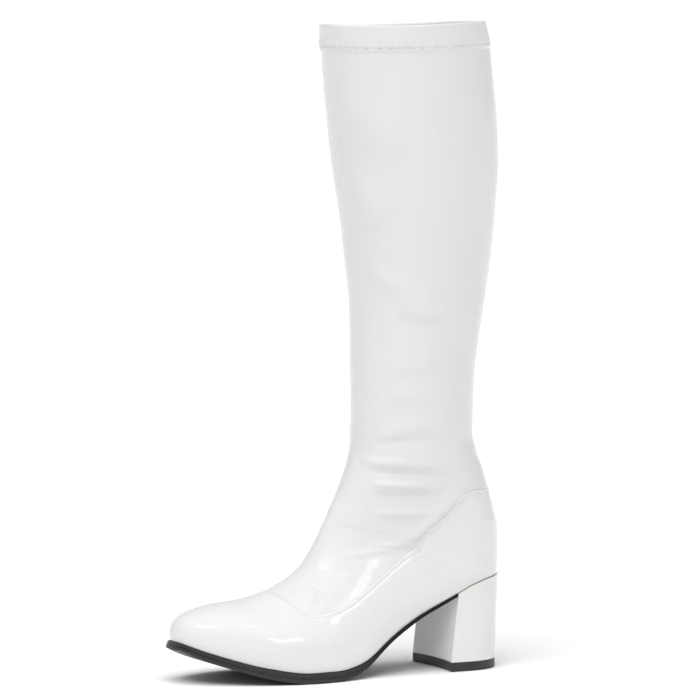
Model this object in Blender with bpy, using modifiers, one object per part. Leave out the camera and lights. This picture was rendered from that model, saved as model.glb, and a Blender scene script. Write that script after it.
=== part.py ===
"""Knee-high go go boot for the left foot, standing empty on its sole.

Metres, +Z up. The toe points to -X, the outer (lateral) side of the foot faces -Y.
The origin is the middle of the heel's wearing face, on the floor.
"""
import math

import bmesh
import bpy
import numpy as np

# Driving sizes in metres
BOOT_HEIGHT = 0.4455
FOOT_LENGTH = 0.2385
BALL_WIDTH = 0.088
INSTEP_HEIGHT = 0.051
ANKLE_HEIGHT = 0.098
ANKLE_MIDDLE = 0.2635
CALF_DEPTH = 0.117
CALF_WIDTH = 0.108
HEEL_HEIGHT = 0.0645
HEEL_DEPTH = 0.044
HEEL_BASE_WIDTH = 0.059
HEEL_OVERHANG = 0.0025
HEEL_TAPER = 1.5
SEAT_INSET = 0.0015
BREAST_SHARE = 0.38
TOP_PIECE_THICKNESS = 0.006
SOLE_THICKNESS = 0.007
SOLE_EDGE = 0.0012
SOLE_FLARE = 0.0016
SOLE_RIB = 0.0006
RIB_LEVEL = 0.62
RIB_SPREAD = 0.14
FLAT_FROM = 0.578
FLAT_TO = 0.666
TOE_SPRING = 0.023
TOE_SWING = 0.007
SWING_FROM = 0.40
TOE_ROUND = 0.052
TOE_POWER = 2.3
HEEL_ROUND = 0.031
HEEL_POWER = 2.2
BREAST_HOLLOW = 0.003
BREAST_CURVE = 3
BREAST_FADE = 0.020
UPPER_WALL = 0.0018
COLLAR_DROP = 0.0025
HEM_HEIGHT = 0.020
HEM_STEP = 0.0014
SEAM_STEP = 0.0009
SEAM_RAMP = 0.0025
INSOLE_THICKNESS = 0.003
CLEARANCE = 0.0003

# Mesh fineness
LEG_ROWS = 13
ANKLE_ROWS = 10
HEEL_ROWS = 6
ARCH_ROWS = 12
BALL_ROWS = 3
FRONT_ROWS = 4
TOE_ROWS = 10
LOW_COLUMNS = 6
HIGH_COLUMNS = 12
CROSS_COLUMNS = 8
INSOLE_COLUMNS = 4
HEEL_LEVELS = 5
MERGE = 1e-5
SLIVER = 1e-6
SHARP = math.radians(35)

# Places that follow from the sizes
BACK_X = HEEL_DEPTH / 2 + HEEL_OVERHANG
SEAT_BACK_X = BACK_X - SEAT_INSET
BREAST_X = -BREAST_SHARE * HEEL_DEPTH
BREAST_PLACE = SEAT_BACK_X - BREAST_X
ANKLE_X = BACK_X - ANKLE_MIDDLE * FOOT_LENGTH
TOE_X = BACK_X - FOOT_LENGTH
ANKLE_Z = HEEL_HEIGHT + ANKLE_HEIGHT

# Base colours
WHITE = (0.83, 0.83, 0.815, 1.0)
BLACK = (0.012, 0.012, 0.013, 1.0)
LINING = (0.72, 0.71, 0.69, 1.0)


def table(columns, *rows):
    """Rows of numbers whose columns can be asked for by name."""
    return np.array(list(rows), dtype=[(name, float) for name in columns.split()])


# Underside of the sole. forward is a share of FOOT_LENGTH from the back of the heel,
# heel of HEEL_HEIGHT, toe of TOE_SPRING and thick of SOLE_THICKNESS.
PROFILE = table(
    "forward heel toe thick",
    (0.000, 0.966, 0.000, 0.31),
    (0.072, 0.940, 0.000, 0.31),
    (0.126, 0.885, 0.000, 0.31),
    (0.172, 0.803, 0.000, 0.31),
    (0.226, 0.703, 0.000, 0.34),
    (0.281, 0.594, 0.000, 0.38),
    (0.323, 0.500, 0.000, 0.42),
    (0.373, 0.380, 0.000, 0.46),
    (0.411, 0.274, 0.000, 0.50),
    (0.443, 0.183, 0.000, 0.57),
    (0.477, 0.099, 0.000, 0.73),
    (0.514, 0.042, 0.000, 0.88),
    (0.556, 0.006, 0.000, 0.98),
    (FLAT_FROM, 0.000, 0.000, 1.00),
    (FLAT_TO, 0.000, 0.000, 1.00),
    (0.706, 0.000, 0.040, 1.00),
    (0.762, 0.000, 0.140, 1.00),
    (0.818, 0.000, 0.283, 0.97),
    (0.873, 0.000, 0.460, 0.93),
    (0.922, 0.000, 0.643, 0.89),
    (0.963, 0.000, 0.817, 0.83),
    (1.000, 0.000, 1.000, 0.79),
)

# Half widths of the feather line, where upper meets sole, as shares of BALL_WIDTH,
# before heel and toe are rounded off.
OUTLINE = table(
    "forward lateral medial",
    (0.00, 0.330, 0.330),
    (0.10, 0.335, 0.335),
    (0.19, 0.325, 0.320),
    (0.30, 0.290, 0.265),
    (0.38, 0.305, 0.250),
    (0.48, 0.375, 0.300),
    (0.58, 0.440, 0.410),
    (0.65, 0.460, 0.470),
    (0.72, 0.445, 0.485),
    (0.80, 0.400, 0.455),
    (0.88, 0.345, 0.400),
    (1.00, 0.300, 0.340),
)

# The leg, from collar to ankle. height is a share of the way up from the ankle to the
# collar, front and back are shares of CALF_DEPTH from the ankle's middle, width is a
# half width in shares of CALF_WIDTH.
LEG = table(
    "height front back width",
    (1.000, 0.538, 0.425, 0.486),
    (0.918, 0.532, 0.466, 0.495),
    (0.806, 0.511, 0.497, 0.500),
    (0.728, 0.488, 0.512, 0.497),
    (0.642, 0.452, 0.518, 0.486),
    (0.527, 0.420, 0.499, 0.463),
    (0.401, 0.384, 0.468, 0.426),
    (0.319, 0.366, 0.438, 0.403),
    (0.211, 0.360, 0.398, 0.380),
    (0.122, 0.359, 0.377, 0.361),
    (0.000, 0.362, 0.369, 0.347),
)

# The ankle and heel, in sections that turn about the instep. The forward columns are
# shares of FOOT_LENGTH, the rises shares of ANKLE_HEIGHT above the heel seat, width of
# BALL_WIDTH, and level says how far from heel to instep the section is widest.
ANKLE = table(
    "low_rise low_forward top_forward top_rise width level",
    (0.856, 0.066, 0.447, 0.887, 0.424, 0.50),
    (0.733, 0.047, 0.461, 0.774, 0.416, 0.47),
    (0.580, 0.028, 0.479, 0.672, 0.405, 0.43),
    (0.436, 0.011, 0.498, 0.574, 0.395, 0.39),
    (0.303, 0.000, 0.517, 0.492, 0.386, 0.35),
    (0.169, 0.000, 0.531, 0.426, 0.380, 0.31),
)

# The foot, from heel to toe. low_forward and top_forward are shares of FOOT_LENGTH,
# top_rise of INSTEP_HEIGHT above the feather line, lateral and medial are half widths
# in shares of BALL_WIDTH, level as above, and arch is the roundness of the top.
FOOT = table(
    "low_forward top_forward top_rise lateral medial level arch",
    (0.006, 0.542, 0.725, 0.375, 0.375, 0.26, 2.00),
    (0.020, 0.549, 0.665, 0.375, 0.375, 0.26, 2.00),
    (0.045, 0.558, 0.597, 0.375, 0.375, 0.26, 2.00),
    (0.086, 0.569, 0.524, 0.375, 0.374, 0.27, 2.00),
    (0.147, 0.586, 0.490, 0.376, 0.373, 0.29, 2.00),
    (0.222, 0.606, 0.533, 0.380, 0.373, 0.31, 1.98),
    (0.314, 0.632, 0.657, 0.390, 0.376, 0.32, 1.95),
    (0.418, 0.667, 0.873, 0.415, 0.395, 0.32, 1.92),
    (0.521, 0.710, 0.996, 0.450, 0.430, 0.29, 1.92),
    (0.620, 0.755, 0.957, 0.474, 0.465, 0.27, 1.95),
    (0.712, 0.806, 0.888, 0.468, 0.498, 0.27, 2.00),
    (0.799, 0.853, 0.784, 0.424, 0.476, 0.28, 2.08),
    (0.873, 0.898, 0.650, 0.366, 0.424, 0.30, 2.15),
    (0.930, 0.939, 0.508, 0.338, 0.384, 0.32, 2.20),
    (0.967, 0.970, 0.375, 0.324, 0.362, 0.34, 2.20),
    (0.988, 0.988, 0.252, 0.318, 0.357, 0.36, 2.20),
    (0.997, 0.997, 0.140, 0.316, 0.357, 0.38, 2.10),
    (1.000, 1.000, 0.078, 0.315, 0.357, 0.40, 2.00),
)

# The seam where the lower part laps the shaft, from the back of the heel along the side
# and round the throat on the instep. rise is a share of ANKLE_HEIGHT above the seat,
# forward of FOOT_LENGTH, and around is 0 at the feather line and 1 on the instep.
SEAM = table(
    "rise forward around",
    (0.600, 0.000, 0.000),
    (0.580, 0.000, 0.100),
    (0.520, 0.000, 0.260),
    (0.350, 0.000, 0.390),
    (0.090, 0.000, 0.485),
    (0.000, 0.042, 0.505),
    (0.000, 0.268, 0.510),
    (0.000, 0.390, 0.515),
    (0.000, 0.436, 0.535),
    (0.000, 0.465, 0.589),
    (0.000, 0.495, 0.683),
    (0.000, 0.508, 0.800),
    (0.000, 0.512, 0.906),
    (0.000, 0.514, 1.000),
)


def smooth(at, keys, values):
    """Cubic curve through (keys, values) that never swings past its points."""
    step = np.diff(keys)
    slope = np.diff(values) / step
    inner = np.zeros(len(keys))
    same = slope[:-1] * slope[1:] > 0
    before = 2 * step[1:] + step[:-1]
    after = step[1:] + 2 * step[:-1]
    left = np.where(same, slope[:-1], 1.0)
    right = np.where(same, slope[1:], 1.0)
    inner[1:-1] = np.where(same, (before + after) / (before / left + after / right), 0.0)
    inner[0] = slope[0]
    inner[-1] = slope[-1]
    at = np.clip(at, keys[0], keys[-1])
    cell = np.clip(np.searchsorted(keys, at, side="right") - 1, 0, len(step) - 1)
    t = (at - keys[cell]) / step[cell]
    rise = step[cell]
    start = (1 + 2 * t) * (1 - t) ** 2 * values[cell] + t * (1 - t) ** 2 * rise * inner[cell]
    end = t * t * (3 - 2 * t) * values[cell + 1] + t * t * (t - 1) * rise * inner[cell + 1]
    return start + end


def forward(x):
    """How far x lies in front of the back of the heel, as a share of the foot."""
    return (BACK_X - x) / FOOT_LENGTH


def swing(x):
    """Sideways shift of the foot's middle line, towards the inner side at the toe."""
    along = np.clip((forward(x) - SWING_FROM) / (1 - SWING_FROM), 0, 1)
    return TOE_SWING * along ** 2


def under(x):
    """Height of the underside of the sole at x."""
    share = forward(x)
    heel = smooth(share, PROFILE["forward"], PROFILE["heel"] * HEEL_HEIGHT)
    toe = smooth(share, PROFILE["forward"], PROFILE["toe"] * TOE_SPRING)
    return heel + toe


def seat(x):
    """Height of the feather line at x: the sole's underside and its thickness."""
    return under(x) + smooth(forward(x), PROFILE["forward"], PROFILE["thick"] * SOLE_THICKNESS)


def rounding(distance, depth, power):
    """Share of the full width at a distance from a round end of that depth."""
    inside = np.clip(1 - distance / depth, 0, 1)
    return (1 - inside ** power) ** (1 / power)


def toe_round(x, out=0.0):
    return rounding(x - TOE_X + out, TOE_ROUND + out, TOE_POWER)


def heel_round(x, out=0.0):
    return rounding(SEAT_BACK_X - x + out, HEEL_ROUND + out, HEEL_POWER)


def feather(x, side, out=0.0):
    """Half width of the feather line at x on one side, all round moved out by out."""
    full = smooth(forward(x), OUTLINE["forward"], OUTLINE[side] * BALL_WIDTH)
    return (full + out) * toe_round(x, out) * heel_round(x, out)


def sections():
    """Every table row as a section in metres, keyed by its place along the low line.

    The place is minus the height above the heel seat up the back of the leg, and the
    distance forward of the seat's back along the feather line.
    """
    leg_rise = ANKLE_HEIGHT + LEG["height"] * (BOOT_HEIGHT - ANKLE_Z)
    ankle_rise = ANKLE["low_rise"] * ANKLE_HEIGHT
    foot_x = np.minimum(BACK_X - FOOT["low_forward"] * FOOT_LENGTH, SEAT_BACK_X)
    level = np.full(len(LEG), 0.5)
    return {
        "place": np.concatenate([-leg_rise, -ankle_rise, SEAT_BACK_X - foot_x]),
        "low_x": np.concatenate([
            ANKLE_X + LEG["back"] * CALF_DEPTH,
            BACK_X - ANKLE["low_forward"] * FOOT_LENGTH,
            foot_x]),
        "top_x": np.concatenate([
            ANKLE_X - LEG["front"] * CALF_DEPTH,
            BACK_X - ANKLE["top_forward"] * FOOT_LENGTH,
            BACK_X - FOOT["top_forward"] * FOOT_LENGTH]),
        "top_z": np.concatenate([
            HEEL_HEIGHT + leg_rise - COLLAR_DROP * LEG["height"] ** 4,
            HEEL_HEIGHT + ANKLE["top_rise"] * ANKLE_HEIGHT,
            seat(foot_x) + FOOT["top_rise"] * INSTEP_HEIGHT]),
        "lateral": np.concatenate([
            LEG["width"] * CALF_WIDTH,
            ANKLE["width"] * BALL_WIDTH,
            FOOT["lateral"] * BALL_WIDTH]),
        "medial": np.concatenate([
            LEG["width"] * CALF_WIDTH,
            ANKLE["width"] * BALL_WIDTH,
            FOOT["medial"] * BALL_WIDTH]),
        "level": np.concatenate([level, ANKLE["level"], FOOT["level"]]),
        "arch": np.concatenate([np.full(len(LEG) + len(ANKLE), 2.0), FOOT["arch"]]),
    }


def section_rows(place):
    """The sections at the given places, as columns that broadcast across a row."""
    known = sections()
    keys = known["place"]
    row = {name: smooth(place, keys, known[name])[:, None] for name in known if name != "place"}
    on_foot = (place >= 0)[:, None]
    along = SEAT_BACK_X - place[:, None]
    row["low_x"] = np.where(on_foot, along, row["low_x"])
    row["low_z"] = np.where(on_foot, seat(row["low_x"]), HEEL_HEIGHT - place[:, None])
    for side in ("lateral", "medial"):
        row[side] = row[side] * toe_round(row["low_x"])
        row["feather_" + side] = np.where(on_foot, feather(row["low_x"], side), 0.0)
    return row


def wrap(row, angle, side, sign):
    """Points of one side: angle -90 degrees is the low line and 90 the top line.

    Below the widest level the half width eases from the feather line outwards, and
    above it the section closes to the top as a superellipse.
    """
    low = angle < 0
    reach = np.abs(np.sin(angle)) ** (2 / row["arch"])
    width = np.abs(np.cos(angle)) ** (2 / row["arch"])
    edge = row["feather_" + side]
    full = row[side]
    share = np.where(low, row["level"] * (1 - reach), row["level"] + (1 - row["level"]) * reach)
    half = np.where(low, edge + (full - edge) * width, full * width)
    x = row["low_x"] + share * (row["top_x"] - row["low_x"])
    z = row["low_z"] + share * (row["top_z"] - row["low_z"])
    return x, sign * half + swing(x), z


def last_surface(place):
    """Grid of points over the last: rows at the places, columns from the lateral
    feather line over the top to the medial one."""
    row = section_rows(place)
    low = np.linspace(-math.pi / 2, 0, LOW_COLUMNS + 1)[:-1]
    high = np.linspace(0, math.pi / 2, HIGH_COLUMNS + 1)
    angle = np.concatenate([low, high])[None, :]
    lateral = np.stack(wrap(row, angle, "lateral", -1.0), axis=-1)
    medial = np.stack(wrap(row, angle, "medial", 1.0), axis=-1)
    return np.concatenate([lateral, medial[:, -2::-1]], axis=1)


def stations():
    """Places of the foot's sections, close together at heel, arch and toe."""
    length = SEAT_BACK_X - TOE_X
    heel = HEEL_ROUND * (1 - np.cos(np.linspace(0, math.pi / 2, HEEL_ROWS)))
    toe = length - TOE_ROUND * (1 - np.cos(np.linspace(math.pi / 2, 0, TOE_ROWS)))
    flat_from = FLAT_FROM * FOOT_LENGTH - SEAT_INSET
    flat_to = FLAT_TO * FOOT_LENGTH - SEAT_INSET
    arch = np.linspace(heel[-1], flat_from, ARCH_ROWS)[1:-1]
    ball = np.linspace(flat_from, flat_to, BALL_ROWS)
    front = np.linspace(flat_to, toe[0], FRONT_ROWS)[1:-1]
    return np.unique(np.concatenate([heel, arch, ball, front, toe, [BREAST_PLACE]]))


def new_object(name, mesh, material, collection):
    made = bpy.data.objects.new(name, mesh)
    mesh.materials.append(material)
    collection.objects.link(made)
    mesh.shade_smooth()
    mesh.set_sharp_from_angle(angle=SHARP)
    return made


def mesh_from_grids(name, grids):
    """One mesh from grids of points that share their edges."""
    build = bmesh.new()
    for grid in grids:
        verts = [[build.verts.new(point) for point in line] for line in grid]
        for one, two in zip(verts[:-1], verts[1:]):
            for a, b, c, d in zip(one[:-1], one[1:], two[1:], two[:-1]):
                build.faces.new((a, b, c, d))
    bmesh.ops.remove_doubles(build, verts=build.verts, dist=MERGE)
    bmesh.ops.dissolve_degenerate(build, edges=build.edges, dist=SLIVER)
    bmesh.ops.recalc_face_normals(build, faces=build.faces)
    mesh = bpy.data.meshes.new(name)
    build.to_mesh(mesh)
    build.free()
    return mesh


def block(name, along, across, levels, place, material, collection):
    """Closed solid: place(a, t, r) gives the points for a station a, a share t from the
    lateral (-1) to the medial (1) edge, and a level r from the underside 0 to the top 1."""
    a, t = np.meshgrid(along, across, indexing="ij")
    sheets = [place(a, t, np.zeros_like(a)), place(a, t, np.ones_like(a))]
    a, r = np.meshgrid(along, levels, indexing="ij")
    sheets += [place(a, np.full_like(a, side), r) for side in (-1.0, 1.0)]
    t, r = np.meshgrid(across, levels, indexing="ij")
    sheets += [place(np.full_like(t, end), t, r) for end in (along[0], along[-1])]
    mesh = mesh_from_grids(name, sheets)
    return new_object(name, mesh, material, collection)


def rim_x(a, out):
    """x of a station, with the round ends of heel and toe moved out by out."""
    heel = np.clip(1 - a / HEEL_ROUND, 0, 1)
    toe = np.clip(1 - (SEAT_BACK_X - TOE_X - a) / TOE_ROUND, 0, 1)
    return SEAT_BACK_X - a + out * (heel - toe)


def rim_y(x, t, out):
    """Sideways place of a share t across the bottom, the edge moved out by out."""
    side = np.where(t < 0, feather(x, "lateral", out), feather(x, "medial", out))
    return t * side + swing(x)


def make_upper(material, collection):
    """Hollow upper: the last's surface with hem and seam steps, given its wall."""
    collar = BOOT_HEIGHT - HEEL_HEIGHT
    ankle = ANKLE["low_rise"][0] * ANKLE_HEIGHT
    hem = collar - HEM_HEIGHT
    hem_rows = -np.array([collar, hem + HEM_HEIGHT / 2, hem])
    leg_rows = -np.linspace(hem - HEM_STEP, ankle, LEG_ROWS)
    ankle_rows = -np.linspace(ankle, 0, ANKLE_ROWS + 1)[1:-1]
    place = np.concatenate([hem_rows, leg_rows, ankle_rows, stations()])
    grid = last_surface(place)
    grid = grid + outward(grid) * relief(grid, place)[:, :, None]
    mesh = mesh_from_grids("upper", [grid])
    made = new_object("upper", mesh, material, collection)
    wall = made.modifiers.new("wall", "SOLIDIFY")
    wall.thickness = UPPER_WALL
    wall.offset = -1.0
    wall.use_even_offset = False
    return made


def outward(grid):
    """Unit normals of the grid, pointing away from the foot."""
    down = np.gradient(grid, axis=0)
    around = np.gradient(grid, axis=1)
    closed = np.linalg.norm(grid[:, 0] - grid[:, -1], axis=1) < CLEARANCE
    for end in (0, -1):
        around[closed, end] = (grid[:, 1] - grid[:, -2])[closed]
    normal = np.cross(around, down)
    size = np.linalg.norm(normal, axis=2, keepdims=True)
    return normal / np.maximum(size, SLIVER ** 2)


def seam_distance(place, around):
    """How far a point lies from the seam, counted towards the sole."""
    keys = SEAM["forward"] * FOOT_LENGTH - SEAM["rise"] * ANKLE_HEIGHT
    line = smooth(place, keys, SEAM["around"])
    ahead = smooth(place + SEAM_RAMP, keys, SEAM["around"])
    behind = smooth(place - SEAM_RAMP, keys, SEAM["around"])
    slope = (ahead - behind) / (2 * SEAM_RAMP) * BALL_WIDTH
    past = np.maximum(place - keys[-1], 0) - np.maximum(keys[0] - place, 0)
    return ((line - around) * BALL_WIDTH + past) / np.sqrt(1 + slope ** 2)


def relief(grid, place):
    """Steps of the wall: the folded hem, and the lower part that laps the shaft."""
    place = place[:, None]
    hem_place = BOOT_HEIGHT - HEEL_HEIGHT - HEM_HEIGHT
    hem = np.where(-place >= hem_place - CLEARANCE, HEM_STEP, 0.0)
    middle = (grid.shape[1] - 1) / 2
    around = 1 - np.abs(np.arange(grid.shape[1]) - middle)[None, :] / middle
    lap = SEAM_STEP * np.clip(seam_distance(place, around) / SEAM_RAMP, 0, 1)
    rise = np.clip(grid[:, :, 2] - seat(grid[:, :, 0]), 0, SEAM_RAMP) / SEAM_RAMP
    return hem + lap * rise


def sole_place(a, t, r):
    """Outsole: follows the feather line, flares to the floor and has one rib."""
    tail = np.clip(1 - (a - BREAST_PLACE) / BREAST_FADE, 0, 1)
    rib = SOLE_RIB * np.exp(-((r - RIB_LEVEL) / RIB_SPREAD) ** 2)
    ahead = np.clip((a - BREAST_PLACE) / (BREAST_X - TOE_X), 0, 1)
    out = SOLE_EDGE + SOLE_FLARE * (1 - r) * np.sqrt(ahead) + rib
    x = rim_x(a, out) + (BREAST_HOLLOW * (1 - t * t) - 2 * CLEARANCE) * tail
    top = seat(x) - CLEARANCE
    return np.stack([x, rim_y(x, t, out), under(x) + r * (top - under(x))], axis=-1)


def make_outsole(material, collection):
    places = stations()
    along = places[places >= BREAST_PLACE]
    across = np.linspace(-1, 1, CROSS_COLUMNS + 1)
    levels = np.array([0.0, RIB_LEVEL - RIB_SPREAD, RIB_LEVEL, RIB_LEVEL + RIB_SPREAD, 1.0])
    return block("outsole", along, across, levels, sole_place, material, collection)


def insole_place(a, t, r):
    """Insole: inside the upper's wall, on the outsole and the heel's seat."""
    inset = -(UPPER_WALL + 4 * CLEARANCE)
    x = rim_x(a, inset)
    return np.stack([x, rim_y(x, t, inset), seat(x) + r * INSOLE_THICKNESS], axis=-1)


def make_insole(material, collection):
    across = np.linspace(-1, 1, INSOLE_COLUMNS + 1)
    levels = np.array([0.0, 1.0])
    return block("insole", stations(), across, levels, insole_place, material, collection)


def heel_outline(a, t, r):
    """Heel in plan: the seat's outline above, the wearing face's D shape below."""
    ahead = a / BREAST_PLACE
    floor_back = HEEL_DEPTH / 2
    floor_x = floor_back - ahead * HEEL_DEPTH
    seat_x = rim_x(a, SOLE_EDGE)
    x = floor_x + r * (seat_x - floor_x) + BREAST_HOLLOW * (1 - t * t) * ahead ** BREAST_CURVE
    seat_half = rim_y(seat_x, t, SOLE_EDGE)
    floor_half = t * HEEL_BASE_WIDTH / 2 * rounding(floor_back - floor_x, HEEL_ROUND, HEEL_POWER)
    return x, floor_half + r ** HEEL_TAPER * (seat_half - floor_half)


def heel_place(a, t, r):
    """Covered heel block between the top piece and the seat."""
    x, y = heel_outline(a, t, r)
    low = TOP_PIECE_THICKNESS + CLEARANCE
    return np.stack([x, y, low + r * (seat(x) - CLEARANCE - low)], axis=-1)


def top_piece_place(a, t, r):
    """Wearing piece of the heel, flat on the floor."""
    x, y = heel_outline(a, t, np.zeros_like(r))
    return np.stack([x, y, r * TOP_PIECE_THICKNESS], axis=-1)


def make_heel(cover, rubber, collection):
    places = stations()
    along = places[places <= BREAST_PLACE]
    across = np.linspace(-1, 1, CROSS_COLUMNS + 1)
    levels = np.linspace(0, 1, HEEL_LEVELS)
    block("heel", along, across, levels, heel_place, cover, collection)
    block("top_piece", along, across, np.array([0.0, 1.0]), top_piece_place, rubber, collection)


def new_material(name, colour, roughness, coat):
    material = bpy.data.materials.new(name)
    material.use_nodes = True
    shader = material.node_tree.nodes["Principled BSDF"]
    shader.inputs["Base Color"].default_value = colour
    shader.inputs["Roughness"].default_value = roughness
    shader.inputs["Metallic"].default_value = 0.0
    shader.inputs["Coat Weight"].default_value = coat
    return material


def main():
    for old in list(bpy.data.objects):
        bpy.data.objects.remove(old, do_unlink=True)
    collection = bpy.data.collections.new("go_go_boot")
    bpy.context.scene.collection.children.link(collection)
    patent = new_material("white_patent", WHITE, 0.25, 1.0)
    rubber = new_material("black_rubber", BLACK, 0.45, 0.0)
    sock = new_material("sock_lining", LINING, 0.7, 0.0)
    make_upper(patent, collection)
    make_outsole(rubber, collection)
    make_insole(sock, collection)
    make_heel(patent, rubber, collection)


main()
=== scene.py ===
"""Knee-high go go boot for the left foot in white patent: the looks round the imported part.

Metres, +Z up, toe to -X, outer (lateral) side to -Y, floor at z = 0.
"""
import math

import bmesh
import bpy
import numpy as np
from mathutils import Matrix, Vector


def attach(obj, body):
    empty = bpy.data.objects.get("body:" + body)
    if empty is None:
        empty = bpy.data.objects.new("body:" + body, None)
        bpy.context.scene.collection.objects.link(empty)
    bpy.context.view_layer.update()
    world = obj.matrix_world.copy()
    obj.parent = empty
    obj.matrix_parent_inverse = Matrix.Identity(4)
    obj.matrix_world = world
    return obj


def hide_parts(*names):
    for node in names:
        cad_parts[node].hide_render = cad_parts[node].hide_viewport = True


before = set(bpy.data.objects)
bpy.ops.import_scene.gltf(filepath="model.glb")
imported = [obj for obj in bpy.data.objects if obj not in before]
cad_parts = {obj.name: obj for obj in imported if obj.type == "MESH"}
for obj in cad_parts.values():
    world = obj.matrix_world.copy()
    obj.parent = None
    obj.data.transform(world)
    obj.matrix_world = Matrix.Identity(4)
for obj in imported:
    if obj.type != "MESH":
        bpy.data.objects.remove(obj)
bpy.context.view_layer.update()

# Shaft: a tube of stretch patent, pulled over the last and held by its own tension. Its top
# is turned down and sewn with an elastic stitch, its front runs down to the throat under the
# vamp, and it creases where the ankle bends.
BOOT_HEIGHT = 0.4455
FOOT_LENGTH = 0.2385
BALL_WIDTH = 0.088
INSTEP_HEIGHT = 0.051
ANKLE_HEIGHT = 0.098
ANKLE_MIDDLE = 0.2635
CALF_DEPTH = 0.117
CALF_WIDTH = 0.108
HEEL_HEIGHT = 0.0645
HEEL_DEPTH = 0.044
HEEL_OVERHANG = 0.0025
SEAT_INSET = 0.0015
SOLE_THICKNESS = 0.007
FLAT_FROM = 0.578
FLAT_TO = 0.666
TOE_SPRING = 0.023
TOE_SWING = 0.007
SWING_FROM = 0.40
TOE_ROUND = 0.052
TOE_POWER = 2.3
HEEL_ROUND = 0.031
HEEL_POWER = 2.2
UPPER_WALL = 0.0018
COLLAR_DROP = 0.0025
LOW_SHARE = 1 / 3

BACK_X = HEEL_DEPTH / 2 + HEEL_OVERHANG
SEAT_BACK_X = BACK_X - SEAT_INSET
ANKLE_X = BACK_X - ANKLE_MIDDLE * FOOT_LENGTH
TOE_X = BACK_X - FOOT_LENGTH
TOE_PLACE = SEAT_BACK_X - TOE_X
COLLAR = BOOT_HEIGHT - HEEL_HEIGHT


def table(columns, *rows):
    """Rows of numbers whose columns can be asked for by name."""
    return np.array(list(rows), dtype=[(name, float) for name in columns.split()])


# Underside of the sole: shares of foot length, heel height, toe spring and thickness.
PROFILE = table(
    "forward heel toe thick",
    (0.000, 0.966, 0.000, 0.31),
    (0.072, 0.940, 0.000, 0.31),
    (0.126, 0.885, 0.000, 0.31),
    (0.172, 0.803, 0.000, 0.31),
    (0.226, 0.703, 0.000, 0.34),
    (0.281, 0.594, 0.000, 0.38),
    (0.323, 0.500, 0.000, 0.42),
    (0.373, 0.380, 0.000, 0.46),
    (0.411, 0.274, 0.000, 0.50),
    (0.443, 0.183, 0.000, 0.57),
    (0.477, 0.099, 0.000, 0.73),
    (0.514, 0.042, 0.000, 0.88),
    (0.556, 0.006, 0.000, 0.98),
    (FLAT_FROM, 0.000, 0.000, 1.00),
    (FLAT_TO, 0.000, 0.000, 1.00),
    (0.706, 0.000, 0.040, 1.00),
    (0.762, 0.000, 0.140, 1.00),
    (0.818, 0.000, 0.283, 0.97),
    (0.873, 0.000, 0.460, 0.93),
    (0.922, 0.000, 0.643, 0.89),
    (0.963, 0.000, 0.817, 0.83),
    (1.000, 0.000, 1.000, 0.79),
)

# Half widths of the feather line in shares of the ball's width.
OUTLINE = table(
    "forward lateral medial",
    (0.00, 0.330, 0.330),
    (0.10, 0.335, 0.335),
    (0.19, 0.325, 0.320),
    (0.30, 0.290, 0.265),
    (0.38, 0.305, 0.250),
    (0.48, 0.375, 0.300),
    (0.58, 0.440, 0.410),
    (0.65, 0.460, 0.470),
    (0.72, 0.445, 0.485),
    (0.80, 0.400, 0.455),
    (0.88, 0.345, 0.400),
    (1.00, 0.300, 0.340),
)

# The leg from collar to ankle, in shares of the leg's rise, calf depth and calf width.
LEG = table(
    "height front back width",
    (1.000, 0.538, 0.425, 0.486),
    (0.918, 0.532, 0.466, 0.495),
    (0.806, 0.511, 0.497, 0.500),
    (0.728, 0.488, 0.512, 0.497),
    (0.642, 0.452, 0.518, 0.486),
    (0.527, 0.420, 0.499, 0.463),
    (0.401, 0.384, 0.468, 0.426),
    (0.319, 0.366, 0.438, 0.403),
    (0.211, 0.360, 0.398, 0.380),
    (0.122, 0.359, 0.377, 0.361),
    (0.000, 0.362, 0.369, 0.347),
)

# The ankle and heel, in sections that turn about the instep.
ANKLE = table(
    "low_rise low_forward top_forward top_rise width level",
    (0.856, 0.066, 0.447, 0.887, 0.424, 0.50),
    (0.733, 0.047, 0.461, 0.774, 0.416, 0.47),
    (0.580, 0.028, 0.479, 0.672, 0.405, 0.43),
    (0.436, 0.011, 0.498, 0.574, 0.395, 0.39),
    (0.303, 0.000, 0.517, 0.492, 0.386, 0.35),
    (0.169, 0.000, 0.531, 0.426, 0.380, 0.31),
)

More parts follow.
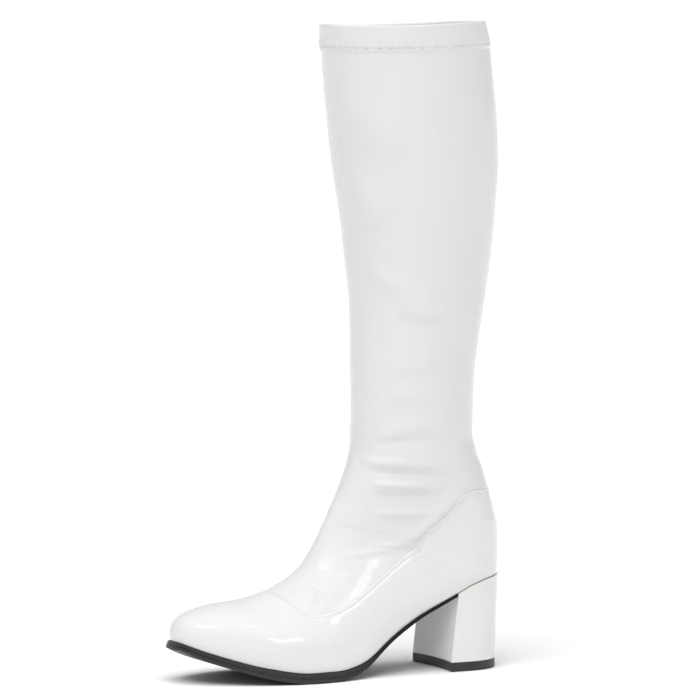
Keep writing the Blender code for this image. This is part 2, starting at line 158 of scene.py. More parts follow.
# The foot from heel to toe.
FOOT = table(
    "low_forward top_forward top_rise lateral medial level arch",
    (0.006, 0.542, 0.725, 0.375, 0.375, 0.26, 2.00),
    (0.020, 0.549, 0.665, 0.375, 0.375, 0.26, 2.00),
    (0.045, 0.558, 0.597, 0.375, 0.375, 0.26, 2.00),
    (0.086, 0.569, 0.524, 0.375, 0.374, 0.27, 2.00),
    (0.147, 0.586, 0.490, 0.376, 0.373, 0.29, 2.00),
    (0.222, 0.606, 0.533, 0.380, 0.373, 0.31, 1.98),
    (0.314, 0.632, 0.657, 0.390, 0.376, 0.32, 1.95),
    (0.418, 0.667, 0.873, 0.415, 0.395, 0.32, 1.92),
    (0.521, 0.710, 0.996, 0.450, 0.430, 0.29, 1.92),
    (0.620, 0.755, 0.957, 0.474, 0.465, 0.27, 1.95),
    (0.712, 0.806, 0.888, 0.468, 0.498, 0.27, 2.00),
    (0.799, 0.853, 0.784, 0.424, 0.476, 0.28, 2.08),
    (0.873, 0.898, 0.650, 0.366, 0.424, 0.30, 2.15),
    (0.930, 0.939, 0.508, 0.338, 0.384, 0.32, 2.20),
    (0.967, 0.970, 0.375, 0.324, 0.362, 0.34, 2.20),
    (0.988, 0.988, 0.252, 0.318, 0.357, 0.36, 2.20),
    (0.997, 0.997, 0.140, 0.316, 0.357, 0.38, 2.10),
    (1.000, 1.000, 0.078, 0.315, 0.357, 0.40, 2.00),
)

# The seam where the vamp laps the shaft, from the back of the heel to the throat.
SEAM = table(
    "rise forward around",
    (0.600, 0.000, 0.000),
    (0.596, 0.000, 0.110),
    (0.588, 0.000, 0.225),
    (0.428, 0.000, 0.344),
    (0.302, 0.000, 0.422),
    (0.088, 0.000, 0.506),
    (0.000, 0.031, 0.528),
    (0.000, 0.104, 0.520),
    (0.000, 0.173, 0.513),
    (0.000, 0.229, 0.509),
    (0.000, 0.304, 0.502),
    (0.000, 0.350, 0.506),
    (0.000, 0.395, 0.522),
    (0.000, 0.429, 0.540),
    (0.000, 0.462, 0.572),
    (0.000, 0.494, 0.611),
    (0.000, 0.513, 0.650),
    (0.000, 0.518, 0.700),
    (0.000, 0.520, 0.760),
    (0.000, 0.5215, 0.840),
    (0.000, 0.5225, 0.930),
    (0.000, 0.523, 1.000),
)


def smooth(at, keys, values):
    """Cubic curve through (keys, values) that never swings past its points."""
    step = np.diff(keys)
    slope = np.diff(values) / step
    inner = np.zeros(len(keys))
    same = slope[:-1] * slope[1:] > 0
    before = 2 * step[1:] + step[:-1]
    after = step[1:] + 2 * step[:-1]
    left = np.where(same, slope[:-1], 1.0)
    right = np.where(same, slope[1:], 1.0)
    inner[1:-1] = np.where(same, (before + after) / (before / left + after / right), 0.0)
    inner[0] = slope[0]
    inner[-1] = slope[-1]
    at = np.clip(at, keys[0], keys[-1])
    cell = np.clip(np.searchsorted(keys, at, side="right") - 1, 0, len(step) - 1)
    t = (at - keys[cell]) / step[cell]
    rise = step[cell]
    start = (1 + 2 * t) * (1 - t) ** 2 * values[cell] + t * (1 - t) ** 2 * rise * inner[cell]
    end = t * t * (3 - 2 * t) * values[cell + 1] + t * t * (t - 1) * rise * inner[cell + 1]
    return start + end


def forward(x):
    """How far x lies in front of the back of the heel, as a share of the foot."""
    return (BACK_X - x) / FOOT_LENGTH


def swing(x):
    """Sideways shift of the foot's middle line: it grows with the square of the share."""
    return TOE_SWING * np.clip((forward(x) - SWING_FROM) / (1 - SWING_FROM), 0, 1) ** 2


def under(x):
    """Height of the sole's underside: the heel's fall and the toe's spring added up."""
    share = forward(x)
    heel = smooth(share, PROFILE["forward"], PROFILE["heel"] * HEEL_HEIGHT)
    toe = smooth(share, PROFILE["forward"], PROFILE["toe"] * TOE_SPRING)
    return heel + toe


def seat(x):
    """Height of the feather line: the sole's underside and its thickness."""
    return under(x) + smooth(forward(x), PROFILE["forward"], PROFILE["thick"] * SOLE_THICKNESS)


def rounding(distance, depth, power):
    """Share of the full width near a round end: a superellipse of that depth."""
    inside = np.clip(1 - distance / depth, 0, 1)
    return (1 - inside ** power) ** (1 / power)


def feather(x, side, out=0.0):
    """Half width of the feather line on one side, all round moved out by out."""
    name = "lateral" if side < 0 else "medial"
    full = smooth(forward(x), OUTLINE["forward"], OUTLINE[name] * BALL_WIDTH)
    toe = rounding(x - TOE_X + out, TOE_ROUND + out, TOE_POWER)
    heel = rounding(SEAT_BACK_X - x + out, HEEL_ROUND + out, HEEL_POWER)
    return (full + out) * toe * heel


def last_sections():
    """The tables in metres, keyed by place: minus the height above the heel seat up the
    back of the leg, and the distance forward of the seat's back along the feather line."""
    leg_rise = ANKLE_HEIGHT + LEG["height"] * (COLLAR - ANKLE_HEIGHT)
    ankle_rise = ANKLE["low_rise"] * ANKLE_HEIGHT
    foot_x = np.minimum(BACK_X - FOOT["low_forward"] * FOOT_LENGTH, SEAT_BACK_X)
    half = LEG["width"] * CALF_WIDTH
    joint = ANKLE["width"] * BALL_WIDTH
    return {
        "place": np.concatenate([-leg_rise, -ankle_rise, SEAT_BACK_X - foot_x]),
        "low_x": np.concatenate([
            ANKLE_X + LEG["back"] * CALF_DEPTH,
            BACK_X - ANKLE["low_forward"] * FOOT_LENGTH,
            foot_x]),
        "top_x": np.concatenate([
            ANKLE_X - LEG["front"] * CALF_DEPTH,
            BACK_X - ANKLE["top_forward"] * FOOT_LENGTH,
            BACK_X - FOOT["top_forward"] * FOOT_LENGTH]),
        "top_z": np.concatenate([
            HEEL_HEIGHT + leg_rise - COLLAR_DROP * LEG["height"] ** 4,
            HEEL_HEIGHT + ANKLE["top_rise"] * ANKLE_HEIGHT,
            seat(foot_x) + FOOT["top_rise"] * INSTEP_HEIGHT]),
        "lateral": np.concatenate([half, joint, FOOT["lateral"] * BALL_WIDTH]),
        "medial": np.concatenate([half, joint, FOOT["medial"] * BALL_WIDTH]),
        "level": np.concatenate([np.full(len(LEG), 0.5), ANKLE["level"], FOOT["level"]]),
        "arch": np.concatenate([np.full(len(LEG) + len(ANKLE), 2.0), FOOT["arch"]]),
    }


LAST = last_sections()
HEEL_CUP = FOOT["level"][0] * (FOOT["top_forward"][0] * FOOT_LENGTH - SEAT_INSET)
HEEL_EASE = 0.155
HEEL_BLEND = 0.012
COLLAR_DIP = 0.0056
BACK_DIP = 0.0030
BACK_DIP_REACH = 0.12
DIP_POWER = 8


def on_section(place, around, side):
    """Point of the last: in the section at place, a superellipse from the low line at
    around 0 out to the widest level and up to the top line at around 1. Below the widest
    level the foot's sections follow the heel's round plan and end on the feather line.
    Above it a small width, |place| exp(-|place| / blend), is taken off where leg and
    foot sections meet. The collar dips at its back and on its inner side, by the eighth
    power of the share of the leg's height."""
    name = "lateral" if side < 0 else "medial"
    row = {key: smooth(place, LAST["place"], LAST[key])
           for key in ("low_x", "top_x", "top_z", "level", "arch", name)}
    on_foot = place >= 0
    low_x = np.where(on_foot, SEAT_BACK_X - place, row["low_x"])
    low_z = np.where(on_foot, seat(low_x), HEEL_HEIGHT - place)
    edge = np.where(on_foot, feather(low_x, side), 0.0)
    behind = np.where(on_foot, place, 0.0)
    full = row[name] * rounding(low_x - TOE_X, TOE_ROUND, TOE_POWER)
    low = around < LOW_SHARE
    turn = np.where(low, around / LOW_SHARE - 1, (around - LOW_SHARE) / (1 - LOW_SHARE))
    reach = np.abs(np.sin(turn * math.pi / 2)) ** (2 / row["arch"])
    width = np.abs(np.cos(turn * math.pi / 2)) ** (2 / row["arch"])
    level = row["level"]
    share = np.where(low, level * (1 - reach), level + (1 - level) * reach)
    x = low_x + share * (row["top_x"] - low_x)
    z = low_z + share * (row["top_z"] - low_z)
    cup = full * rounding(SEAT_BACK_X - x, HEEL_CUP, 2)
    bottom = cup - (full * rounding(behind, HEEL_CUP, 2) - edge) * (1 - width)
    half = np.where(low & on_foot, bottom, full * width)
    turned = reach * (1 - reach) / np.maximum(width, 1e-6) * np.abs(place)
    half = half - np.where(low, 0, HEEL_EASE * turned * np.exp(-np.abs(place) / HEEL_BLEND))
    height = np.clip((-place - ANKLE_HEIGHT) / (COLLAR - ANKLE_HEIGHT), 0, 1)
    dip = BACK_DIP * np.exp(-(around / BACK_DIP_REACH) ** 2)
    if side > 0:
        dip = dip + COLLAR_DIP * width * width * (3 - 2 * width)
    z = z - dip * height ** DIP_POWER
    return np.stack([x, side * half + swing(x), z], axis=-1)


MEET_REACH = 0.014
MEET_SPREAD = 0.007
MEET_FROM = 0.20
MEET_FADE = 0.15
MEET_POINTS = 9


def on_last(place, around, side):
    """The section's point; where leg and foot sections meet it is a mean of points before
    and behind, whose weights fall evenly with their distance, so that no crease is left."""
    point = on_section(place, around, side)
    near = (np.abs(place) < MEET_REACH) & (around > MEET_FROM)
    place, around = place[near], around[near]
    spread = MEET_SPREAD * (1 - (place / MEET_REACH) ** 2)
    spread = spread * np.clip((around - MEET_FROM) / MEET_FADE, 0, 1)
    offsets = np.linspace(-1, 1, MEET_POINTS + 2)[1:-1]
    weights = 1 - np.abs(offsets)
    point[near] = sum(weight * on_section(place + offset * spread, around, side)
                      for offset, weight in zip(offsets, weights)) / weights.sum()
    return point


def out_of_last(place, around, side):
    """Unit normals of the last, from the differences along and across the sections."""
    step, reach = 0.008, 0.0012
    up = on_last(place, np.minimum(around + step, 1), side)
    up = up - on_last(place, np.maximum(around - step, 0), side)
    ahead = on_last(place + reach, around, side) - on_last(place - reach, around, side)
    normal = side * -np.cross(up, ahead)
    return normal / np.maximum(np.linalg.norm(normal, axis=-1, keepdims=True), 1e-12)


def half_girths(rows=120, columns=60):
    """Length of the section line from low line to top line, at a row of places."""
    place = np.linspace(-COLLAR, TOE_PLACE, rows)
    around = np.linspace(0, 1, columns)
    grid = on_last(place[:, None] + 0 * around, around[None, :] + 0 * place[:, None], -1)
    return place, np.linalg.norm(np.diff(grid, axis=1), axis=2).sum(axis=1)


GIRTH_PLACE, GIRTH = half_girths()

# Ridges and troughs of the shaft, each along a line through four points. height and
# width in millimetres, crisp is 2 for a soft one and less for a sharp one, side -1 is
# lateral and 1 medial, p is the place in millimetres and a how far around.
FOLDS = table(
    "side height width crisp p0 a0 p1 a1 p2 a2 p3 a3",
    (-1, 1.7, 3.6, 2.0, -77, 0.88, -78, 0.76, -78, 0.60, -77, 0.34),
    (-1, 2.1, 4.6, 2.0, -58, 0.74, -59, 0.64, -60, 0.52, -61, 0.36),
    (-1, 1.5, 4.0, 2.0, -31, 0.70, -34, 0.60, -37, 0.50, -43, 0.38),
    (-1, 2.4, 4.4, 1.8, -59, 0.25, -40, 0.385, -18, 0.500, 4, 0.595),
    (-1, 0.7, 5.2, 2.0, -6, 0.56, 6, 0.61, 17, 0.67, 28, 0.76),
    (-1, -0.9, 2.2, 1.6, -54, 0.255, -39, 0.36, -20, 0.465, 8, 0.535),
    (-1, -1.0, 2.6, 1.8, -71, 0.82, -71, 0.66, -71, 0.50, -69, 0.30),
    (-1, -1.0, 3.0, 1.8, -48, 0.72, -50, 0.62, -52, 0.50, -52, 0.40),
    (-1, 1.2, 5.5, 2.0, -98, 0.76, -102, 0.64, -106, 0.50, -107, 0.34),
    (-1, -0.9, 4.0, 1.8, -92, 0.80, -95, 0.60, -96, 0.42, -94, 0.26),
    (-1, 1.4, 7.0, 2.0, -212, 0.84, -205, 0.70, -198, 0.56, -192, 0.42),
    (-1, 1.2, 6.0, 2.0, -190, 0.66, -186, 0.54, -183, 0.42, -182, 0.32),
    (-1, -0.8, 4.5, 2.0, -178, 0.66, -176, 0.56, -174, 0.44, -173, 0.34),
    (-1, 0.8, 6.0, 2.0, -148, 0.74, -147, 0.62, -147, 0.50, -146, 0.40),
    (-1, 0.8, 7.0, 2.0, -126, 0.70, -127, 0.58, -127, 0.48, -126, 0.36),
    (-1, 1.8, 16.0, 2.0, -276, 0.96, -266, 0.86, -256, 0.76, -246, 0.66),
    (-1, 1.2, 20.0, 2.0, -330, 0.94, -318, 0.80, -306, 0.66, -300, 0.52),
    (-1, 0.5, 9.0, 2.0, 112, 0.82, 106, 0.78, 102, 0.72, 100, 0.66),
    (-1, 1.0, 10.0, 2.0, 50, 0.73, 66, 0.68, 84, 0.66, 104, 0.66),
    (-1, -1.5, 2.6, 1.6, 84, 0.76, 90, 0.70, 96, 0.65, 104, 0.61),
    (1, 1.5, 3.8, 2.0, -75, 0.80, -74, 0.70, -72, 0.58, -73, 0.42),
    (1, 2.0, 4.6, 2.0, -60, 0.80, -57, 0.68, -57, 0.54, -59, 0.40),
    (1, 1.4, 4.4, 2.0, -36, 0.74, -37, 0.62, -40, 0.50, -46, 0.36),
    (1, 2.0, 5.0, 1.8, -58, 0.24, -42, 0.36, -18, 0.50, 10, 0.60),
    (1, -1.7, 2.6, 1.5, -52, 0.24, -38, 0.35, -16, 0.47, 8, 0.55),
    (1, -1.2, 2.8, 1.6, -68, 0.84, -66, 0.68, -65, 0.54, -66, 0.38),
    (1, 1.2, 6.0, 2.0, -100, 0.84, -98, 0.70, -99, 0.54, -102, 0.38),
    (1, 1.2, 8.0, 2.0, -200, 0.78, -196, 0.64, -190, 0.52, -186, 0.40),
    (1, 1.5, 16.0, 2.0, -290, 0.90, -278, 0.78, -262, 0.66, -250, 0.56),
    (1, 1.4, 9.0, 2.0, 112, 0.80, 104, 0.74, 96, 0.68, 84, 0.62),
    (-1, 0.5, 6.0, 2.0, -130, 0.10, -128, 0.04, -128, 0.02, -129, 0.00),
    (-1, -0.4, 4.0, 1.8, -84, 0.18, -82, 0.12, -82, 0.06, -82, 0.00),
    (1, -0.4, 4.0, 1.8, -84, 0.20, -83, 0.13, -82, 0.06, -82, 0.00),
)
FOLD_POINTS = 120
FOLD_SPAN = 3
FOLD_TAPER = 0.6
MIDDLE_NEAR = 0.03


def folds(place, around, side):
    """Sum of all ridges and troughs: each height falls with the distance from its line
    as exp(-(distance / width) ** crisp) and tapers to nothing at both of its ends. One
    that reaches the middle line goes on over it on the other side."""
    total = np.zeros_like(place)
    flat = np.stack([place, around * np.interp(place, GIRTH_PLACE, GIRTH)], axis=-1)
    knots = np.arange(4.0)
    for fold in FOLDS:
        own = fold["side"] == side
        path_place = np.array([fold["p%d" % i] for i in range(4)]) / 1000
        path_around = np.array([fold["a%d" % i] for i in range(4)])
        if not own and path_around.max() < 1 - MIDDLE_NEAR and path_around.min() > MIDDLE_NEAR:
            continue
        if not own:
            path_around = np.where(path_around > 0.5, 2 - path_around, -path_around)
        t = np.linspace(0, knots[-1], FOLD_POINTS)
        line_place = smooth(t, knots, path_place)
        line = np.stack([line_place, smooth(t, knots, path_around)
                         * np.interp(line_place, GIRTH_PLACE, GIRTH)], axis=-1)
        width = fold["width"] / 1000
        near = np.all((flat > line.min(axis=0) - FOLD_SPAN * width)
                      & (flat < line.max(axis=0) + FOLD_SPAN * width), axis=-1)
        gap = np.linalg.norm(flat[near][:, None, :] - line[None], axis=-1)
        nearest = gap.argmin(axis=1)
        taper = np.clip(np.sin(math.pi * t / knots[-1]), 0, 1) ** FOLD_TAPER
        fall = np.exp(-(gap.min(axis=1) / width) ** fold["crisp"])
        total[near] += fold["height"] / 1000 * fall * taper[nearest]
    return total


# Half waves a metre, along the leg and round it, and the turn from each to the next.
SLACK_WAVES = ((31, 12), (-22, 27), (47, -19), (13, 44))
SLACK_TURN = 1.7
SLACK = 0.00022


def waves(place, around, side):
    """Slack of the stretched sheet: four long sine waves that cross each other."""
    girth = around * np.interp(place, GIRTH_PLACE, GIRTH) * side
    total = np.zeros_like(place)
    for rank, (along, across) in enumerate(SLACK_WAVES):
        total += np.sin(math.pi * (along * place + across * girth) + SLACK_TURN * rank)
    return total / len(SLACK_WAVES)


HEM_HEIGHT = 0.020
HEM_STEP = 0.0010
HEM_STITCH = 0.0040
ZIGZAG_PITCH = 0.0055
GROOVE_DEPTH = 0.0002
GROOVE_BITE = 0.0006
GROOVE_WIDTH = 0.0009
PUCKER = 0.00040
PUCKER_PITCH = 0.0052
PUCKER_WOBBLE = 140
PUCKER_PATCHES = 61
PUCKER_RISE = 0.0025
PUCKER_REACH = 0.0045


def hem_relief(place, around, side):
    """Turned-down hem: one smooth step out from its lower edge to the stitch line, whose
    groove deepens at each stitch as a clipped sine, and puckers that run up from the line
    as a sine whose pitch wobbles and whose height comes and goes in patches."""
    above = -place - (COLLAR - HEM_HEIGHT)
    rise = np.clip(above / HEM_STITCH, 0, 1)
    step = HEM_STEP * rise * rise * (3 - 2 * rise)
    girth = around * np.interp(place, GIRTH_PLACE, GIRTH)
    dash = np.clip(0.5 + 1.5 * np.sin(2 * math.pi * girth / ZIGZAG_PITCH), 0, 1)
    fall = np.exp(-((above - HEM_STITCH) / GROOVE_WIDTH) ** 2)
    groove = -(GROOVE_DEPTH + GROOVE_BITE * dash) * fall
    patch = 0.35 + 0.65 * np.sin(girth * PUCKER_PATCHES + 1.3 * side) ** 2
    wobble = 2.0 * np.sin(girth * PUCKER_WOBBLE)
    ripple = np.sin(girth * 2 * math.pi / PUCKER_PITCH + wobble)
    reach = np.exp(-((above - HEM_STITCH - PUCKER_RISE) / PUCKER_REACH) ** 2)
    return step + groove + PUCKER * ripple * patch * reach


HEM_INSIDE = 0.018
HEM_FINE = 0.008
HEM_BELOW = 0.0015
ANKLE_FINE = 0.112
THROAT_UNDER = 0.006
SHAFT_COLUMNS = 110
SEAM_UNDER = 0.05
TUCK_DEPTH = 0.009
TUCK_SLOPE = 10.6
TUCK = 0.0006
TUCK_FADE = 0.015


def seam_place():
    """Places of the seam's points, which rise from the heel's back to the throat."""
    return SEAM["forward"] * FOOT_LENGTH - SEAM["rise"] * ANKLE_HEIGHT


def mesh_from_grids(name, grids, material, merge=1e-6):
    """One mesh from grids of points whose shared edges are merged, faces outward."""
    points = np.concatenate([grid.reshape(-1, 3) for grid in grids])
    faces = []
    first = 0
    for grid in grids:
        rows, columns = grid.shape[:2]
        index = first + np.arange(rows * columns).reshape(rows, columns)
        faces.append(np.stack([index[:-1, :-1], index[:-1, 1:], index[1:, 1:], index[1:, :-1]],
                              axis=-1).reshape(-1, 4))
        first += rows * columns
    faces = np.concatenate(faces)
    mesh = bpy.data.meshes.new(name)
    mesh.vertices.add(len(points))
    mesh.vertices.foreach_set("co", points.astype(np.float32).ravel())
    mesh.loops.add(faces.size)
    mesh.loops.foreach_set("vertex_index", faces.astype(np.int32).ravel())
    mesh.polygons.add(len(faces))
    mesh.polygons.foreach_set("loop_start", np.arange(0, faces.size, 4, dtype=np.int32))
    mesh.update(calc_edges=True)
    tidy = bmesh.new()
    tidy.from_mesh(mesh)
    bmesh.ops.remove_doubles(tidy, verts=tidy.verts, dist=merge)
    bmesh.ops.dissolve_degenerate(tidy, edges=tidy.edges, dist=merge / 10)
    bmesh.ops.recalc_face_normals(tidy, faces=tidy.faces)
    tidy.to_mesh(mesh)
    tidy.free()
    mesh.shade_smooth()
    made = bpy.data.objects.new(name, mesh)
    bpy.context.scene.collection.objects.link(made)
    mesh.materials.append(material)
    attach(made, "root")
    return made


def join_sides(lateral, medial, columns):
    """Makes the two halves meet exactly: their shared columns take the mean place."""
    for column, rows in columns:
        middle = (lateral[rows, column] + medial[rows, column]) / 2
        lateral[rows, column] = middle
        medial[rows, column] = middle


def make_shaft(material):
    """Rows follow the collar's inside, roll over its rim and go down the leg to the
    throat; in each row the columns run from under the vamp up to the top line. Under the
    vamp the sheet lies lower by the tuck."""
    roll = np.linspace(0, math.pi, 13)
    half = (HEM_STEP + UPPER_WALL) / 2
    inside = np.linspace(COLLAR - HEM_INSIDE, COLLAR - half, 14)[:-1]
    over_place = COLLAR - half + half * np.sin(roll)
    over_out = (HEM_STEP - UPPER_WALL) / 2 - half * np.cos(roll)
    hem_low = COLLAR - HEM_HEIGHT
    down = np.concatenate([
        np.linspace(COLLAR - half, hem_low + HEM_FINE, 12)[1:],
        np.linspace(hem_low + HEM_FINE, hem_low - HEM_BELOW, 40)[1:],
        np.linspace(hem_low - HEM_BELOW, ANKLE_FINE, 140)[1:],
        np.linspace(ANKLE_FINE, 0.0, 112)[1:],
        -np.linspace(0.0, seam_place()[-1] + THROAT_UNDER, 96)[1:]])
    place = -np.concatenate([inside, over_place, down])
    out = np.concatenate([np.full(len(inside), -UPPER_WALL), over_out, np.zeros(len(down))])
    outer = np.concatenate([np.zeros(len(inside) + len(roll)), np.ones(len(down))])
    line = smooth(place, seam_place(), SEAM["around"])
    ramp = TUCK_SLOPE * (place - seam_place()[0] - TUCK_DEPTH)
    start = np.maximum(np.minimum(line - SEAM_UNDER, ramp), 0)
    share = np.linspace(0, 1, SHAFT_COLUMNS)[None, :]
    around = start[:, None] + (1 - start[:, None]) * share
    place = place[:, None] + 0 * share
    halves = []
    tucked = np.clip((line[:, None] - around) / TUCK_FADE, 0, 1)
    for side in (-1, 1):
        relief = out[:, None] - TUCK * tucked + outer[:, None] * (
            hem_relief(place, around, side) + folds(place, around, side)
            + SLACK * waves(place, around, side))
        halves.append(on_last(place, around, side)
                      + out_of_last(place, around, side) * relief[..., None])
    whole = slice(0, len(place))
    closed = slice(0, int(np.argmax(start > 0)))
    join_sides(*halves, [(-1, whole), (0, closed)])
    return mesh_from_grids("shaft", halves, material)


def grain_group():
    """Shader group: fine orange-peel grain over a soft wrinkle, as one height."""
    group = bpy.data.node_groups.new("grain", "ShaderNodeTree")
    group.interface.new_socket("Vector", in_out="INPUT", socket_type="NodeSocketVector")
    for name in ("Grain", "Wrinkle", "Wrinkle Share"):
        group.interface.new_socket(name, in_out="INPUT", socket_type="NodeSocketFloat")
    group.interface.new_socket("Height", in_out="OUTPUT", socket_type="NodeSocketFloat")
    group.interface.new_socket("Mask", in_out="OUTPUT", socket_type="NodeSocketFloat")
    nodes, links = group.nodes, group.links
    entry = nodes.new("NodeGroupInput")
    leave = nodes.new("NodeGroupOutput")
    fine = nodes.new("ShaderNodeTexNoise")
    fine.inputs["Detail"].default_value = 2.0
    soft = nodes.new("ShaderNodeTexNoise")
    soft.inputs["Detail"].default_value = 1.0
    soft.inputs["Distortion"].default_value = 0.6
    for noise, name in ((fine, "Grain"), (soft, "Wrinkle")):
        links.new(entry.outputs["Vector"], noise.inputs["Vector"])
        links.new(entry.outputs[name], noise.inputs["Scale"])
    both = nodes.new("ShaderNodeMix")
    links.new(entry.outputs["Wrinkle Share"], both.inputs["Factor"])
    links.new(fine.outputs["Fac"], both.inputs["A"])
    links.new(soft.outputs["Fac"], both.inputs["B"])
    links.new(both.outputs["Result"], leave.inputs["Height"])
    links.new(soft.outputs["Fac"], leave.inputs["Mask"])
    return group


GRAIN = grain_group()


def finish(name, colour, tint, rough, bump, grain, wrinkle, share, coat=0.0):
    """Material from the grain group: its height drives the bump, and its soft mask runs
    the colour from colour to tint and the roughness from rough[0] to rough[1]."""
    material = bpy.data.materials.new(name)
    material.use_nodes = True
    nodes, links = material.node_tree.nodes, material.node_tree.links
    shader = nodes["Principled BSDF"]
    shader.inputs["Coat Weight"].default_value = coat
    shader.inputs["Coat Roughness"].default_value = 0.06
    place = nodes.new("ShaderNodeTexCoord")
    skin = nodes.new("ShaderNodeGroup")
    skin.node_tree = GRAIN
    links.new(place.outputs["Object"], skin.inputs["Vector"])
    skin.inputs["Grain"].default_value = grain
    skin.inputs["Wrinkle"].default_value = wrinkle
    skin.inputs["Wrinkle Share"].default_value = share
    raise_ = nodes.new("ShaderNodeBump")
    raise_.inputs["Strength"].default_value = 1.0
    raise_.inputs["Distance"].default_value = bump
    links.new(skin.outputs["Height"], raise_.inputs["Height"])
    links.new(raise_.outputs["Normal"], shader.inputs["Normal"])
    tone = nodes.new("ShaderNodeMix")
    tone.data_type = "RGBA"
    tone.inputs["A"].default_value = (*colour, 1.0)
    tone.inputs["B"].default_value = (*tint, 1.0)
    links.new(skin.outputs["Mask"], tone.inputs["Factor"])
    links.new(tone.outputs["Result"], shader.inputs["Base Color"])
    gloss = nodes.new("ShaderNodeMapRange")
    gloss.inputs["From Min"].default_value = 0.1
    gloss.inputs["From Max"].default_value = 0.9
    gloss.inputs["To Min"].default_value, gloss.inputs["To Max"].default_value = rough
    links.new(skin.outputs["Mask"], gloss.inputs["Value"])
    links.new(gloss.outputs["Result"], shader.inputs["Roughness"])
    return material


SHAFT_WHITE = (0.667, 0.666, 0.656)
SHAFT_SHADE = (0.653, 0.652, 0.642)
stretch_patent = finish("stretch_patent", SHAFT_WHITE, SHAFT_SHADE, rough=(0.19, 0.26),
                        bump=0.00016, grain=900, wrinkle=60, share=0.55, coat=0.5)
shaft = make_shaft(stretch_patent)
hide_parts("upper")

# Vamp and counter: stiff, high-gloss patent in one piece round toe, sides and heel, lasted
# under at the feather line. Its turned edge laps the shaft and is sewn down along a furrow.
LAP = 0.0004
EDGE_ROUND = 0.0005
SEW_IN = 0.0021
FURROW_DEPTH = 0.00020
FURROW_WIDTH = 0.0007
LASTED_RISE = 0.004
WAVE_REACH = 0.004
LEAST_LEAN = 0.3
THROAT_FROM = 0.75
VAMP_WHITE = (0.694, 0.694, 0.685)
VAMP_SHADE = (0.683, 0.682, 0.673)
EDGE_STEPS = np.array([0, 0.04, 0.12, 0.25, 0.42, 0.62, 0.85, 1.15, 1.45, 1.7, 1.9, 2.1,
                       2.3, 2.5, 2.75, 3.1, 3.6, 4.3, 5.2]) / 1000
VAMP_ROWS = 118
VAMP_COLUMNS = 300
FAN_EASE = 0.018

# Where the lines that leave the seam at a share of its length end on the feather line.
FAN = table(
    "share forward around",
    (0.00, 0.00, 0.0),
    (0.33, 0.03, 0.0),
    (0.42, 0.07, 0.0),
    (0.63, 0.27, 0.0),
    (0.75, 0.42, 0.0),
    (0.82, 0.58, 0.0),
    (0.87, 0.74, 0.0),
    (0.91, 0.90, 0.0),
    (0.94, 1.00, 0.0),
    (1.00, 1.00, 1.0),
)


def stretch(place):
    """Place measured round the heel's and the toe's curve, so that even steps stay even."""
    tail = TOE_PLACE - TOE_ROUND
    heel = HEEL_ROUND * np.arccos(1 - np.clip(place / HEEL_ROUND, 0, 1))
    heel = heel + np.maximum(place - HEEL_ROUND, 0)
    toe = TOE_ROUND * np.arcsin(np.clip((place - tail) / TOE_ROUND, 0, 1))
    return np.where(place < 0, place, heel) + toe - np.clip(place - tail, 0, None)


def unstretch(length):
    """The place for a length measured as stretch does."""
    quarter = HEEL_ROUND * math.pi / 2
    tail = stretch(np.array(TOE_PLACE - TOE_ROUND))
    heel = HEEL_ROUND * (1 - np.cos(np.clip(length, 0, quarter) / HEEL_ROUND))
    middle = np.clip(length, quarter, tail) - quarter
    toe = TOE_ROUND * np.sin(np.clip((length - tail) / TOE_ROUND, 0, math.pi / 2))
    return np.minimum(length, 0) + heel + middle + toe


def seam_line(count, fine=400):
    """Points of the seam as share of its length, place and around: even steps, closer in
    the last quarter, whose lines fan out round the toe."""
    keys = seam_place()
    place = np.concatenate([np.linspace(start, end, fine)
                            for start, end in zip(keys[:-1], keys[1:])])
    around = smooth(place, keys, SEAM["around"])
    flat = np.stack([place, around * np.interp(place, GIRTH_PLACE, GIRTH)], axis=-1)
    length = np.concatenate([[0], np.cumsum(np.linalg.norm(np.diff(flat, axis=0), axis=1))])
    length = length / length[-1]
    share = np.interp(np.linspace(0, 1, count), (0, 0.5, 1), (0, THROAT_FROM, 1))
    return share, np.interp(share, length, place), np.interp(share, length, around)


def vamp_grid():
    """Lines fan out from the seam to the feather line. Their first points keep fixed
    distances from the seam's edge in plain place, and further off they pass over to even
    steps in stretched place, which follow the heel's and the toe's curve."""
    share, place, around = seam_line(VAMP_COLUMNS)
    girth = np.interp(place, GIRTH_PLACE, GIRTH)
    end = smooth(share, FAN["share"], FAN["forward"]) * TOE_PLACE
    end_around = smooth(share, FAN["share"], FAN["around"])
    line = np.stack([end - place, (end_around - around) * girth], axis=-1)
    length = np.linalg.norm(line, axis=1)
    along = np.stack([np.gradient(place), np.gradient(around * girth)], axis=-1)
    along = along / np.linalg.norm(along, axis=1, keepdims=True)
    lean = np.abs(line[:, 0] * along[:, 1] - line[:, 1] * along[:, 0]) / length
    lean = np.maximum(lean, LEAST_LEAN)
    near = EDGE_STEPS[:, None] / (length * lean)[None, :]
    rest = np.linspace(0, 1, VAMP_ROWS)[1:, None]
    step = np.concatenate([near, near[-1] + (1 - near[-1]) * rest])
    plain = place + step * (end - place)
    curved = unstretch(stretch(place) + step * (stretch(end) - stretch(place)))
    distance = step * length * lean
    pass_over = np.clip((distance - EDGE_STEPS[-1]) / FAN_EASE, 0, 1)
    grid_place = plain + pass_over * pass_over * (3 - 2 * pass_over) * (curved - plain)
    return grid_place, around + step * (end_around - around), distance


def lap_relief(distance):
    """Lapped edge: a quarter round up to the lap's height, and a furrow along the stitches
    that falls off as exp(-(distance / width) squared)."""
    rise = LAP * np.sqrt(1 - (1 - np.clip(distance / EDGE_ROUND, 0, 1)) ** 2)
    furrow = FURROW_DEPTH * np.exp(-((distance - SEW_IN) / FURROW_WIDTH) ** 2)
    return rise - furrow


